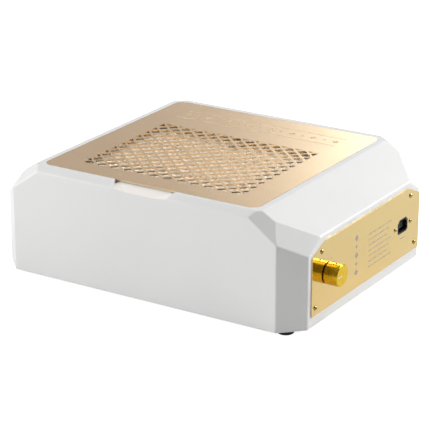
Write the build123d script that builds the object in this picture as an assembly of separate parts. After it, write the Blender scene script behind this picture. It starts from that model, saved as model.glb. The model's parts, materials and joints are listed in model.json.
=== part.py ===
from build123d import *
import math
import os

# Desktop nail dust collector: a faceted white housing with a lift-off pierced top
# plate, a drop-in pleated filter, an external-rotor fan below it and a control panel
# on the right side wall.
# Millimetres. +Z is up, +X points to the control panel and -Y to the user. The origin
# is the middle of the whole object's footprint, knob included, on the plane that the
# feet rest on. The housing is drawn centred on x = 0, and each finished node is then
# moved by centring_x.

# ---- driving dimensions: housing ----
body_width = 430.0
body_depth = 335.6
body_height = 141.7
foot_height = 5.0
wall = 3.0
edge_radius = 4.0
rim_radius = 1.0             # round of the bottom rim
corner_chamfer = 27.3        # vertical corner chamfer, measured along each wall
slope_low = 107.0            # side slopes start this high above the housing's bottom
slope_top_x = 160.0          # and end here on the top face
bevel_low = 136.0            # the front bevel starts this high
bevel_top_y = 157.6          # and ends here on the top face
back_bevel_low = 139.4       # the back bevel is narrower
back_bevel_top_y = 163.8
roof = 5.5                   # top wall, including the plate's recess

half_w = body_width / 2
half_d = body_depth / 2
floor_z = foot_height
top_z = foot_height + body_height
cavity_z = top_z - roof

# ---- top plate and its pierced field ----
plate_width = 304.0
plate_depth = 307.0
plate_y = 0.7                # the plate sits slightly behind the centre
plate_thickness = 1.5
plate_radius = 13.0
plate_gap = 0.5
plate_under = top_z - plate_thickness
field_x = 114.4
field_front = -122.0
field_back = 60.0
cell_width = 38.35           # one repeat of the lattice, across
cell_depth = 36.3            # and front to back
knot_x = 9.1                 # where one of the knots lies
knot_y = 52.8
knot_width = 4.6
knot_length = 7.4
strut = 3.0
hole_round = 1.4
smallest_hole = 4.0          # area; cut-off openings below this are left closed

# ---- finger scoop in the front top edge, wider at the plate than at the front wall ----
scoop_back_y = -151.0
scoop_back_half = 44.5
scoop_front_half = 38.5
scoop_flat_half = 20.0       # the floor rises from here towards its front corners
scoop_floor_in = 1.9         # floor depth below the top, at its back
scoop_floor_out = 8.7        # and at the front wall
scoop_corner_rise = 2.3
scoop_pocket = 7.0           # depth of the gap at each end

# ---- control panel ----
panel_front = -133.8
panel_back = 138.2
panel_low = floor_z + 14.1
panel_high = floor_z + 100.1
panel_chamfer_y = 31.6
panel_chamfer_z = 13.3
panel_thickness = 1.5
panel_face = half_w + panel_thickness
panel_screws_yz = [(112.9, floor_z + 89.5), (126.4, floor_z + 23.7)]
window_half_y = 120.5
window_low = 38.0
window_high = 86.0

# ---- speed knob ----
knob_y = -97.0
knob_z = floor_z + 58.0
knob_radius = 13.5
knob_length = 18.2
knob_gap = 1.0
knob_end = panel_face + knob_gap + knob_length
pot_shaft_radius = 3.0
centring_x = -(knob_end - half_w) / 2

# ---- mains inlet ----
inlet_y = 93.7
inlet_z = floor_z + 55.8
inlet_half_y = 13.5
inlet_half_z = 9.5
inlet_screw_pitch = 40.0

# ---- filter well ----
well_y = -30.0
well_width = 246.0
well_depth = 206.0
filter_clear = 1.0
filter_low = 113.0
filter_high = 142.0
gasket_high = 145.1
pleat_pitch = 6.8
pleat_paper = 0.8
tray_wall = 2.0
tray_floor_low = 97.5
tray_floor_high = 100.0

# ---- fan, on the vertical axis through (0, fan_y) ----
fan_y = well_y
impeller_radius = 95.0
shroud_eye = 65.0
throat_radius = 62.0
blade_count = 7
hub_z = 30.0
rotor_radius = 46.0
shaft_radius = 4.0
bearing_radius = 11.0
running_gap = 0.03
fit_gap = 0.05

# ---- base ----
base_thickness = 3.0
base_top = floor_z + base_thickness
base_gap = 0.5
foot_radius = 10.5
foot_x = 190.0
foot_y = 148.0
boss_radius = 5.0
boss_height = 22.0
side_boss = (204.0, 96.0)
end_boss = (118.0, 156.5)


# ---- helpers ----
def block(x0, x1, y0, y1, z0, z1):
    """A box between two corners."""
    centre = Pos((x0 + x1) / 2, (y0 + y1) / 2, (z0 + z1) / 2)
    return centre * Box(x1 - x0, y1 - y0, z1 - z0)


def rod_z(x, y, z0, z1, radius):
    """An upright cylinder."""
    return Pos(x, y, (z0 + z1) / 2) * Cylinder(radius, z1 - z0)


def rod_x(x0, x1, y, z, radius):
    """A cylinder along X."""
    return Pos((x0 + x1) / 2, y, z) * Rot(0, 90, 0) * Cylinder(radius, x1 - x0)


def rod_y(x, y0, y1, z, radius):
    """A cylinder along Y."""
    return Pos(x, (y0 + y1) / 2, z) * Rot(90, 0, 0) * Cylinder(radius, y1 - y0)


def tube_z(x, y, z0, z1, outer, inner):
    """An upright ring."""
    return rod_z(x, y, z0, z1, outer) - rod_z(x, y, z0 - 1, z1 + 1, inner)


def rounded_slab(width, depth, radius, x, y, z0, z1):
    """A flat slab with rounded upright corners."""
    outline = Pos(x, y, z0) * RectangleRounded(width, depth, radius)
    return extrude(outline, amount=z1 - z0, dir=(0, 0, 1))


def spin(profile, x=0.0, y=0.0):
    """Turns a list of (radius, z) points round an upright axis."""
    face = make_face(Polyline([(r, 0, z) for r, z in profile], close=True))
    return Pos(x, y, 0) * revolve(face, Axis.Z, 360)


def four(x, y):
    """The four mirror positions of a point, as (x, y)."""
    return [(x, y), (-x, y), (-x, -y), (x, -y)]


def group(solids):
    """Separate solids in one node."""
    return Compound(children=[s for part in solids for s in part.solids()])


def wire_run(points, radius):
    """A round cable along a smooth curve through points."""
    path = Spline(points)
    start = path.location_at(0)
    return sweep(Plane(start) * Circle(radius), path=path)


def countersunk_screw(x, y, head_face, tip, head, shank, direction):
    """An upright countersunk screw; direction is +1 when the tip points up."""
    cone_end = head_face + direction * (head - shank)
    profile = [
        (0, head_face),
        (head, head_face),
        (shank, cone_end),
        (shank, tip),
        (0, tip),
    ]
    return spin(profile, x, y)


def dome_screw_x(seat, y, z, head, height, shank, length):
    """A domed screw driven along -X, with a cross recess in its head."""
    dome = ThreePointArc((height, 0), (height * 0.76, head * 0.55), (0, head))
    back = Polyline((0, head), (0, shank), (-length, shank), (-length, 0), (height, 0))
    screw = Pos(seat, y, z) * revolve(make_face(dome + back), Axis.X, 360)
    slot_low = seat + height * 0.55
    for half_y, half_z in ((head * 0.5, 0.4), (0.4, head * 0.5)):
        end = seat + height + 1
        screw -= block(slot_low, end, y - half_y, y + half_y, z - half_z, z + half_z)
    return screw


def hex_nut(x, y, z0, height, across, bore):
    """A hexagon nut on an upright screw."""
    outline = RegularPolygon(across / 2, 6, major_radius=False) - Circle(bore)
    return extrude(Pos(x, y, z0) * outline, amount=height, dir=(0, 0, 1))


# ---- housing ----
def behind_plane(solid, point, normal, inset):
    """Keeps the part of a solid behind a plane, after moving the plane inwards."""
    direction = Vector(*normal).normalized()
    origin = Vector(*point) - direction * inset
    return split(solid, bisect_by=Plane(origin=origin, z_dir=direction), keep=Keep.BOTTOM)


def upward_normal(a, b, c):
    """The upward normal of the plane through three points."""
    normal = (Vector(*b) - Vector(*a)).cross(Vector(*c) - Vector(*a)).normalized()
    return normal if normal.Z > 0 else -normal


def faceted_block(inset, low, high):
    """The housing's outline: a box with sloped, bevelled and faceted corners.

    Every plane moves inwards by inset, apart from the bottom and the top.
    """
    chamfer_x = half_w - corner_chamfer
    chamfer_y = half_d - corner_chamfer
    upper = (chamfer_x, -half_d, floor_z + 108.3)
    lower = (half_w, -chamfer_y, floor_z + 90.5)
    rear = (half_w, -112.7, floor_z + slope_low)
    front = (149.0, -half_d, floor_z + 136.5)
    crown = (169.0, -153.0, floor_z + 136.0)
    low_facet = upward_normal(upper, lower, rear)
    high_facet = upward_normal(front, upper, crown)
    solid = block(-half_w + inset, half_w - inset, -half_d + inset, half_d - inset, low, high)
    slope_rise = body_height - slope_low
    for side in (1, -1):
        at = (side * half_w, 0, floor_z + slope_low)
        solid = behind_plane(solid, at, (side * slope_rise, 0, half_w - slope_top_x), inset)
    for side, start, end_y in ((-1, bevel_low, bevel_top_y), (1, back_bevel_low, back_bevel_top_y)):
        at = (0, side * half_d, floor_z + start)
        solid = behind_plane(solid, at, (0, side * (body_height - start), half_d - end_y), inset)
    for sx, sy in four(1, 1):
        at = (sx * chamfer_x, sy * half_d, low)
        solid = behind_plane(solid, at, (sx, sy, 0), inset)
        for point, normal in ((upper, low_facet), (front, high_facet)):
            at = (sx * point[0], -sy * point[1], point[2])
            facing = (sx * normal.X, -sy * normal.Y, normal.Z)
            solid = behind_plane(solid, at, facing, inset)
    return solid


def scoop_block(grow):
    """The finger scoop's space, widened by grow on its sides, back and floor.

    Its floor falls to the front wall and rises a little at its two front corners.
    """
    back = scoop_back_y + grow
    front = -half_d - 1
    corners = [
        (-scoop_back_half - grow, back),
        (scoop_back_half + grow, back),
        (scoop_front_half + grow, front),
        (-scoop_front_half - grow, front),
    ]
    depth = scoop_floor_out + 2 * grow
    face = make_face(Polyline([(x, y, top_z - depth) for x, y in corners], close=True))
    solid = extrude(face, amount=depth + 1, dir=(0, 0, 1))
    floor_in = top_z - scoop_floor_in - grow
    floor_out = top_z - scoop_floor_out - grow
    middle = (0, scoop_back_y, floor_in)
    for side in (1, -1):
        low = (side * scoop_flat_half, -half_d, floor_out)
        corner = (side * scoop_front_half, -half_d, floor_out + scoop_corner_rise)
        inner = (side * scoop_front_half, scoop_back_y, floor_in)
        solid = behind_plane(solid, low, -upward_normal(low, corner, inner), 0)
        solid = behind_plane(solid, middle, -upward_normal(low, middle, inner), 0)
    return solid


def scoop_pocket_block(side, grow):
    """The deep corner at one end of the scoop, under the plate's edge."""
    back = scoop_back_y + grow
    corners = [
        (side * (scoop_back_half + grow), back),
        (side * (scoop_front_half - 2 - grow), back),
        (side * (scoop_front_half + 2.5), scoop_back_y - 8 - grow),
    ]
    low = top_z - scoop_pocket - grow
    face = make_face(Polyline([(x, y, low) for x, y in corners], close=True))
    return extrude(face, amount=scoop_pocket, dir=(0, 0, 1))


def exhaust_slots():
    """Two rows of round-ended slots through the rear wall."""
    slots = []
    for row_z in (44.0, 82.0):
        for step in range(-9, 10):
            outline = Plane.XZ * Pos(step * 11.0, row_z) * SlotOverall(30.0, 5.0, rotation=90)
            slots.append(extrude(Pos(0, half_d + 1, 0) * outline, amount=wall + 2, dir=(0, -1, 0)))
    return slots


def base_screw_places():
    return four(*side_boss) + four(*end_boss)


def body_shell():
    shell = faceted_block(0, floor_z, top_z)
    shell = fillet(shell.edges().filter_by(lambda edge: edge.center().Z > floor_z), edge_radius)
    shell = fillet(shell.edges().group_by(Axis.Z)[0], rim_radius)
    shell -= faceted_block(wall, floor_z - 1, cavity_z)
    # bosses for the base screws, each joined to its wall by a rib
    for x, y in base_screw_places():
        boss = rod_z(x, y, base_top, base_top + boss_height, boss_radius)
        reach_x = math.copysign(half_w - wall / 2, x) if abs(x) > abs(y) else x
        reach_y = math.copysign(half_d - wall / 2, y) if abs(x) <= abs(y) else y
        rib_half = 1.5
        rib = block(
            min(x, reach_x) - rib_half * (reach_x == x),
            max(x, reach_x) + rib_half * (reach_x == x),
            min(y, reach_y) - rib_half * (reach_y == y),
            max(y, reach_y) + rib_half * (reach_y == y),
            base_top,
            base_top + boss_height,
        )
        shell += boss + rib
        shell -= rod_z(x, y, base_top - 1, base_top + boss_height - 3, 1.75)
    # bosses for the panel screws
    for y, z in panel_screws_yz:
        for side in (1, -1):
            shell += rod_x(half_w - wall - 8, half_w - wall / 2, side * y, z, 4.5)
            shell -= rod_x(half_w - wall - 7, half_w + 1, side * y, z, 1.5)
    # opening behind the control panel
    shell -= block(
        half_w - wall - 1, half_w + 1, -window_half_y, window_half_y, window_low, window_high
    )
    # finger scoop with a closed floor, and a deeper pocket at each of its ends
    solid_outline = faceted_block(wall / 2, floor_z, plate_under - 0.5)
    shell += scoop_block(wall) & solid_outline
    for side in (1, -1):
        shell += scoop_pocket_block(side, wall) & solid_outline
    shell -= scoop_block(0)
    for side in (1, -1):
        shell -= scoop_pocket_block(side, 0)
    # recess for the top plate, and the filter well below it
    shell -= rounded_slab(
        plate_width + 2 * plate_gap,
        plate_depth + 2 * plate_gap,
        plate_radius + plate_gap,
        0,
        plate_y,
        plate_under,
        top_z + 1,
    )
    shell -= rounded_slab(well_width, well_depth, 5, 0, well_y, cavity_z - 1, top_z)
    for x, y in magnet_places():
        shell -= rod_z(x, y, plate_under - magnet_depth, plate_under + 1, magnet_radius + fit_gap)
    for x, y in tray_screw_places():
        shell -= countersunk_screw(
            x, y, plate_under, cavity_z - 1, 3.05 + fit_gap, 1.55 + fit_gap, -1
        )
    for slot in exhaust_slots():
        shell -= slot
    return shell


# ---- base ----
def base_outline(gap):
    """The base plate's outline: the inside of the walls, less a gap."""
    inset = wall + gap
    low = block(
        -half_w + inset, half_w - inset, -half_d + inset, half_d - inset, floor_z, base_top
    )
    for sx, sy in four(1, 1):
        corner = (sx * (half_w - corner_chamfer), sy * half_d, floor_z)
        low = behind_plane(low, corner, (sx, sy, 0), inset)
    return low


bush_offset = 58.0


def bush_places():
    return [(x, y + fan_y) for x, y in four(bush_offset, bush_offset)]


def board_corner_places():
    return [(x, y) for x in (board_x0 + 5, board_x1 - 5) for y in (board_y0 + 5, board_y1 - 5)]


def base_plate():
    plate = base_outline(base_gap)
    for x, y in base_screw_places():
        plate -= countersunk_screw(
            x, y, floor_z, base_top + 1, 3.5 + fit_gap, 1.7 + fit_gap, 1
        )
    for x, y in bush_places():
        plate -= countersunk_screw(x, y, floor_z, base_top + 1, 4.0 + fit_gap, 2.0 + fit_gap, 1)
    for x, y in four(foot_x, foot_y):
        plate -= rod_z(x, y, floor_z - 1, base_top + 1, 2.0 + fit_gap)
    for x, y in board_corner_places():
        plate -= rod_z(x, y, floor_z - 1, base_top + 1, 1.5 + fit_gap)
    plate -= rod_z(*earth_place, floor_z - 1, base_top + 1, 2.0 + fit_gap)
    return plate


def base_screws():
    return group(
        countersunk_screw(x, y, floor_z, base_top + 16, 3.5, 1.7, 1) for x, y in base_screw_places()
    )


def rubber_feet():
    feet = []
    for x, y in four(foot_x, foot_y):
        foot = spin(
            [
                (2.1, 2.6),
                (4.6, 2.6),
                (4.6, 0.8),
                (5.2, 0),
                (foot_radius - 1.4, 0),
                (foot_radius - 0.4, 0.8),
                (foot_radius, foot_height),
                (2.1, foot_height),
            ],
            x,
            y,
        )
        feet.append(foot)
    return group(feet)


def foot_screws():
    screws = []
    for x, y in four(foot_x, foot_y):
        screws.append(
            spin([(0, 0.7), (2.8, 0.7), (3.8, 1.4), (3.8, 2.6), (2, 2.6), (2, 12), (0, 12)], x, y)
        )
    return group(screws)


# ---- top plate ----
magnet_radius = 5.0
magnet_depth = 3.0


def magnet_places():
    return [(x, y + plate_y) for x, y in four(141.0, 137.0)]


def plate_magnets():
    return group(
        rod_z(x, y, plate_under - magnet_depth, plate_under, magnet_radius)
        for x, y in magnet_places()
    )


def lattice_opening():
    """One opening: a diamond between four struts, with rounded corners."""
    half_x = cell_width / 4
    half_y = cell_depth / 4
    side = math.hypot(half_x, half_y)
    diamond_x = half_x - strut / 2 * side / half_y
    diamond_y = half_y - strut / 2 * side / half_x
    corners = [(diamond_x, 0), (0, diamond_y), (-diamond_x, 0), (0, -diamond_y)]
    diamond = make_face(Polyline(corners, close=True))
    return fillet(diamond.vertices(), hole_round)


def lattice_holes():
    """The openings of the lattice, as flat faces.

    Two sets of slanting struts cross on a half-cell grid. Every second crossing has an
    oval knot, which takes the tips off the four openings round it.
    """
    step_x = cell_width / 2
    step_y = cell_depth / 2
    window = Pos(0, (field_front + field_back) / 2) * Rectangle(
        2 * field_x, field_back - field_front
    )
    opening = lattice_opening()
    knot = SlotOverall(knot_length, knot_width, rotation=90)
    columns = range(math.floor((-field_x - knot_x) / step_x), math.ceil((field_x - knot_x) / step_x))
    rows = range(
        math.floor((field_front - knot_y) / step_y), math.ceil((field_back - knot_y) / step_y)
    )
    holes = []
    for column in columns:
        for row in rows:
            for side_x, side_y in ((1, 0), (0, 1)):
                # the opening beside, or behind, this crossing
                centre = Pos(
                    knot_x + (column + side_x / 2) * step_x, knot_y + (row + side_y / 2) * step_y
                )
                beyond = (column + row) % 2
                knot_column = column + beyond * side_x
                knot_row = row + beyond * side_y
                tip = Pos(knot_x + knot_column * step_x, knot_y + knot_row * step_y)
                hole = (centre * opening - tip * knot) & window
                holes += [face for face in hole.faces() if face.area > smallest_hole]
    return holes


def top_grille_plate():
    outline = Pos(0, plate_y) * RectangleRounded(plate_width, plate_depth, plate_radius)
    face = outline.faces()[0]
    pierced = Face(face.outer_wire(), [hole.outer_wire() for hole in lattice_holes()])
    plate = extrude(Pos(0, 0, plate_under) * pierced, amount=plate_thickness, dir=(0, 0, 1))
    return plate


# ---- control panel ----
def panel_outline():
    corners = [
        (panel_front, panel_low),
        (panel_back, panel_low),
        (panel_back, panel_high - panel_chamfer_z),
        (panel_back - panel_chamfer_y, panel_high),
        (panel_front + panel_chamfer_y, panel_high),
        (panel_front, panel_high - panel_chamfer_z),
    ]
    return make_face(Polyline([(half_w, a, b) for a, b in corners], close=True))


def inlet_cutout(grow, x0, x1):
    """The inlet's opening: a rectangle with its corners cut off, the upper two more."""
    hy = inlet_half_y + grow
    hz = inlet_half_z + grow
    cut = 5.0
    low_cut = 2.8
    corners = [
        (low_cut - hy, -hz),
        (hy - low_cut, -hz),
        (hy, low_cut - hz),
        (hy, hz - cut),
        (hy - cut, hz),
        (cut - hy, hz),
        (-hy, hz - cut),
        (-hy, low_cut - hz),
    ]
    face = make_face(Polyline([(x0, inlet_y + a, inlet_z + b) for a, b in corners], close=True))
    return extrude(face, amount=x1 - x0, dir=(1, 0, 0))


def control_panel():
    panel = extrude(panel_outline(), amount=panel_thickness, dir=(1, 0, 0))
    for y, z in panel_screws_yz:
        for side in (1, -1):
            panel -= rod_x(half_w - 1, panel_face + 1, side * y, z, 1.5 + fit_gap)
    panel -= rod_x(half_w - 1, panel_face + 1, knob_y, knob_z, 3.5 + fit_gap)
    panel -= inlet_cutout(0, half_w - 1, panel_face + 1)
    for side in (1, -1):
        y = inlet_y + side * inlet_screw_pitch / 2
        panel -= rod_x(half_w - 1, panel_face + 1, y, inlet_z, 1.5 + fit_gap)
    return panel


def panel_screws():
    screws = []
    for y, z in panel_screws_yz:
        for side in (1, -1):
            screws.append(dome_screw_x(panel_face, side * y, z, 3.4, 2.0, 1.45, 10))
    return group(screws)


# ---- speed control ----
def speed_knob():
    start = panel_face + knob_gap
    knob = rod_x(start, knob_end, knob_y, knob_z, knob_radius)
    knob = fillet(knob.edges().group_by(Axis.X)[-1], 1.2)
    knob = chamfer(knob.edges().group_by(Axis.X)[0], 0.4)
    knob -= rod_x(start - 1, start + 15, knob_y, knob_z, pot_shaft_radius + 0.02)
    knob -= rod_x(start - 1, start + 5.5, knob_y, knob_z, 8.0)
    # pointer groove across half of the cap
    knob -= pointer_bar(0)
    # grub screw hole, in the top of the rim when the knob is off
    knob -= rod_z(start + 10, knob_y, knob_z + pot_shaft_radius, knob_z + 15, 1.5 + fit_gap)
    return knob


def pointer_bar(gap):
    """The pointer inlay in the knob's cap, from the middle towards the user."""
    low = knob_end - 0.6 + gap
    outer_end = knob_y - 11.5 + gap
    inner_end = knob_y - 1.0 - gap
    half_z = 0.5 - gap
    return block(low, knob_end, outer_end, inner_end, knob_z - half_z, knob_z + half_z)


def knob_pointer():
    return pointer_bar(0.03)


def knob_grub_screw():
    x = panel_face + knob_gap + 10
    low = knob_z + pot_shaft_radius + 0.02
    screw = rod_z(x, knob_y, low, low + 5, 1.5)
    socket = RegularPolygon(0.75, 6, major_radius=False)
    return screw - extrude(Pos(x, knob_y, low + 3) * socket, amount=3, dir=(0, 0, 1))


pot_back = half_w - 13.0


def pot_body():
    can = rod_x(pot_back, half_w - 3, knob_y, knob_z, 8.5)
    bush = rod_x(half_w - 3, panel_face + 4.2, knob_y, knob_z, 3.5)
    body = can + bush
    body -= rod_x(pot_back + 2, panel_face + 5, knob_y, knob_z, pot_shaft_radius + running_gap)
    body -= rod_x(pot_back + 2, half_w - 5, knob_y, knob_z, 6.5)
    return body


def pot_terminals():
    pins = []
    for step in (-1, 0, 1):
        y = knob_y + step * 5.0
        pins.append(
            block(pot_back + 3.5, pot_back + 4.3, y - 0.9, y + 0.9, knob_z - 14, knob_z - 8.8)
        )
    return group(pins)


def pot_shaft():
    shaft = rod_x(pot_back + 3, panel_face + knob_gap + 14, knob_y, knob_z, pot_shaft_radius)
    wiper = rod_x(pot_back + 3, half_w - 6, knob_y, knob_z, 6.0)
    shaft += wiper
    return shaft


def pot_washer():
    outer = rod_x(panel_face, panel_face + 0.6, knob_y, knob_z, 6.0)
    return outer - rod_x(panel_face - 1, panel_face + 2, knob_y, knob_z, 3.5 + fit_gap)


def pot_nut():
    outline = RegularPolygon(5.0, 6, major_radius=False) - Circle(3.5 + fit_gap)
    placed = Plane((panel_face + 0.6, knob_y, knob_z), x_dir=(0, 1, 0), z_dir=(1, 0, 0)) * outline
    return extrude(placed, amount=2.4)


# ---- mains inlet ----
inlet_back = half_w - 26.0
flange_thickness = 2.5


def power_inlet():
    """A rear-mounted three-pin inlet: a shroud behind the panel with a flange and ears."""
    flange = block(
        half_w - flange_thickness,
        half_w,
        inlet_y - 25,
        inlet_y + 25,
        inlet_z - inlet_half_z - 2.5,
        inlet_z + inlet_half_z + 2.5,
    )
    flange = fillet(flange.edges().filter_by(Axis.X), 6)
    shroud = inlet_cutout(2.0, inlet_back, half_w - 1)
    body = flange + shroud + inlet_cutout(-0.1, half_w - 1, panel_face)
    body -= inlet_cutout(-2.0, inlet_back + 3, panel_face + 1)
    tongue = block(
        inlet_back + 2, half_w - 2, inlet_y - 8.2, inlet_y + 8.2, inlet_z - 4.0, inlet_z + 3.0
    )
    body += fillet(tongue.edges().filter_by(Axis.X), 1.5)
    for y, z in inlet_pin_places():
        body -= block(inlet_back - 1, half_w, y - 1.05, y + 1.05, z - 2.05, z + 2.05)
    for side in (1, -1):
        y = inlet_y + side * inlet_screw_pitch / 2
        body -= rod_x(half_w - 4, half_w + 1, y, inlet_z, 1.5 + fit_gap)
    return body


def inlet_pin_places():
    return [(inlet_y - 5.0, inlet_z - 0.5), (inlet_y, inlet_z + 0.4), (inlet_y + 5.0, inlet_z - 0.5)]


def inlet_pins():
    pins = []
    for y, z in inlet_pin_places():
        pin = block(inlet_back - 7, half_w - 3, y - 1.0, y + 1.0, z - 2.0, z + 2.0)
        tip = pin.edges().group_by(Axis.X)[-1]
        pins.append(chamfer(tip, 0.6))
    return group(pins)


def inlet_screws():
    screws = []
    for side in (1, -1):
        y = inlet_y + side * inlet_screw_pitch / 2
        screws.append(dome_screw_x(panel_face, y, inlet_z, 2.9, 1.8, 1.45, 10))
    return group(screws)


# ---- filter ----
def tray_screw_places():
    x = well_width / 2 + 6.5
    y = well_depth / 2 + 4.5
    return [(sx * x, well_y + step * 80.0) for sx in (1, -1) for step in (-1, 0, 1)] + [
        (sx * 80.0, well_y + sy * y) for sx in (1, -1) for sy in (1, -1)
    ]


def filter_tray():
    """An open box hung under the roof, with a ledge for the filter and a fan opening."""
    wide = well_width + 2 * tray_wall
    deep = well_depth + 2 * tray_wall
    rim_low = cavity_z - 2.5
    tray = rounded_slab(wide, deep, 6, 0, well_y, tray_floor_low, cavity_z)
    tray += rounded_slab(wide + 22, deep + 15, 6, 0, well_y, rim_low, cavity_z)
    tray -= rounded_slab(well_width, well_depth, 5, 0, well_y, filter_low, cavity_z + 1)
    ledge = 6.0
    tray -= rounded_slab(
        well_width - 2 * ledge, well_depth - 2 * ledge, 5, 0, well_y, tray_floor_high, filter_low + 1
    )
    tray -= rod_z(0, fan_y, tray_floor_low - 1, tray_floor_high + 1, 70.0)
    for x, y in tray_screw_places():
        tray += rod_z(x, y, cavity_z - 9, cavity_z - 1, 3.6)
        tray -= rod_z(x, y, cavity_z - 8, cavity_z + 1, 1.5 + fit_gap)
    for x, y in inlet_ring_screw_places():
        tray -= rod_z(x, y, tray_floor_low - 1, tray_floor_high + 1, 1.5 + fit_gap)
    return tray


def tray_screws():
    return group(
        countersunk_screw(x, y, plate_under, cavity_z - 7.5, 3.0, 1.5, -1)
        for x, y in tray_screw_places()
    )


filter_width = well_width - 2 * filter_clear
filter_depth = well_depth - 2 * filter_clear
frame_wall = 3.0
media_width = filter_width - 2 * frame_wall - 0.4
media_depth = filter_depth - 2 * frame_wall - 0.4


def filter_frame():
    frame = rounded_slab(filter_width, filter_depth, 3, 0, well_y, filter_low, filter_high)
    inside_w = filter_width - 2 * frame_wall
    inside_d = filter_depth - 2 * frame_wall
    frame -= block(
        -inside_w / 2,
        inside_w / 2,
        well_y - inside_d / 2,
        well_y + inside_d / 2,
        filter_low + 1.5,
        filter_high + 1,
    )
    lip = 5.0
    frame -= block(
        -inside_w / 2 + lip,
        inside_w / 2 - lip,
        well_y - inside_d / 2 + lip,
        well_y + inside_d / 2 - lip,
        filter_low - 1,
        filter_high + 1,
    )
    return frame


def filter_media():
    """A folded paper pack; its folds run front to back."""
    low = filter_low + 1.7
    high = filter_high - 2.5
    folds = int(media_width / pleat_pitch)
    start = -folds * pleat_pitch / 2
    half = pleat_pitch / 2
    lift = pleat_paper * math.hypot(high - low, half) / half
    lower = []
    for step in range(2 * folds + 1):
        lower.append((start + step * half, low if step % 2 == 0 else high - lift))
    upper = [(x, z + lift) for x, z in reversed(lower)]
    face = make_face(Polyline([(x, 0, z) for x, z in lower + upper], close=True))
    front = well_y - media_depth / 2
    return extrude(Pos(0, front, 0) * face, amount=media_depth, dir=(0, 1, 0))


def filter_gasket():
    strip = 7.0
    gasket = rounded_slab(filter_width, filter_depth, 3, 0, well_y, filter_high, gasket_high)
    gasket -= block(
        -filter_width / 2 + strip,
        filter_width / 2 - strip,
        well_y - filter_depth / 2 + strip,
        well_y + filter_depth / 2 - strip,
        filter_high - 1,
        gasket_high + 1,
    )
    return gasket


def filter_pull_tabs():
    """Two ribbon loops lying on the pleats, glued inside the frame's front and back walls."""
    tabs = []
    for side in (1, -1):
        wall_y = well_y + side * (filter_depth / 2 - frame_wall)
        end_y = wall_y - side * 26.0
        tabs.append(
            block(-9, 9, min(wall_y, end_y), max(wall_y, end_y), filter_high - 2.0, filter_high - 1.4)
        )
    return group(tabs)


# ---- fan ----
def inlet_ring_screw_places():
    return [
        (78.0 * math.cos(math.radians(a)), fan_y + 78.0 * math.sin(math.radians(a)))
        for a in range(45, 360, 90)
    ]


def fan_inlet_ring():
    """A bell-mouthed ring that guides air from the tray into the impeller's eye."""
    skin = 1.5
    profile = [(85.0, tray_floor_low), (85.0, tray_floor_low - 2)]
    centre_r = throat_radius + 8.0 + skin
    centre_z = tray_floor_low - 9.5
    steps = 8
    outer_bend = [
        (
            centre_r - (8.0) * math.cos(math.radians(90 * i / steps)),
            centre_z + (7.5) * math.sin(math.radians(90 * i / steps)),
        )
        for i in range(steps, -1, -1)
    ]
    inner_bend = [
        (
            centre_r - (8.0 + skin) * math.cos(math.radians(90 * i / steps)),
            centre_z + 9.5 * math.sin(math.radians(90 * i / steps)),
        )
        for i in range(0, steps + 1)
    ]
    profile += outer_bend + inner_bend
    ring = spin(profile, 0, fan_y)
    for x, y in inlet_ring_screw_places():
        ring -= rod_z(x, y, tray_floor_low - 3, tray_floor_low + 1, 1.5 + fit_gap)
    return ring


def inlet_ring_screws():
    screws = []
    seat = tray_floor_low - 2
    for x, y in inlet_ring_screw_places():
        screws.append(
            spin(
                [
                    (0, seat - 2),
                    (2.2, seat - 2),
                    (2.8, seat - 1.2),
                    (2.8, seat),
                    (1.5, seat),
                    (1.5, tray_floor_high + 2),
                    (0, tray_floor_high + 2),
                ],
                x,
                y,
            )
        )
    return group(screws)


def impeller_screw_places():
    return [
        (50.0 * math.cos(math.radians(a)), fan_y + 50.0 * math.sin(math.radians(a)))
        for a in range(0, 360, 90)
    ]


def fan_impeller():
    """Backward-curved blades between a back disc and a conical shroud with an open eye."""
    disc = 2.0
    skin = 1.5
    rim_z = 80.0
    eye_z = 90.0
    back = tube_z(0, fan_y, hub_z, hub_z + disc, impeller_radius, rotor_radius + 0.1)
    shroud = spin(
        [
            (shroud_eye, eye_z),
            (shroud_eye, eye_z - 4),
            (shroud_eye + 1.0, eye_z - 5.5),
            (impeller_radius, rim_z - skin),
            (impeller_radius, rim_z),
            (shroud_eye + skin + 1, eye_z - 3.5),
            (shroud_eye + skin, eye_z),
        ],
        0,
        fan_y,
    )
    blade_in = 58.0
    blade_out = impeller_radius - 0.5
    blades = []
    path = ThreePointArc(
        (blade_in, 0),
        (78.0 * math.cos(math.radians(-16)), 78.0 * math.sin(math.radians(-16))),
        (blade_out * math.cos(math.radians(-42)), blade_out * math.sin(math.radians(-42))),
    )
    blade_face = trace(path, line_width=2.0)
    blade = extrude(Pos(0, fan_y, hub_z + disc / 2) * blade_face, amount=60, dir=(0, 0, 1))
    envelope = spin(
        [
            (blade_in - 2, hub_z + disc / 2),
            (blade_out, hub_z + disc / 2),
            (blade_out, rim_z - skin / 2),
            (shroud_eye + 1.5, eye_z - 5),
            (blade_in - 2, eye_z - 16),
        ],
        0,
        fan_y,
    )
    blade &= envelope
    axis = Axis((0, fan_y, 0), (0, 0, 1))
    for step in range(blade_count):
        blades.append(blade.rotate(axis, 360.0 * step / blade_count))
    impeller = back + shroud
    for piece in blades:
        impeller += piece
    for x, y in impeller_screw_places():
        impeller -= rod_z(x, y, hub_z - 1, hub_z + disc + 1, 2.0 + fit_gap)
    return impeller


def impeller_screws():
    seat = hub_z + 2.0
    return group(
        spin(
            [
                (0, seat + 2.4),
                (2.6, seat + 2.4),
                (3.6, seat + 1.4),
                (3.6, seat),
                (2.0, seat),
                (2.0, hub_z - 2.4),
                (0, hub_z - 2.4),
            ],
            x,
            y,
        )
        for x, y in impeller_screw_places()
    )


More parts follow.
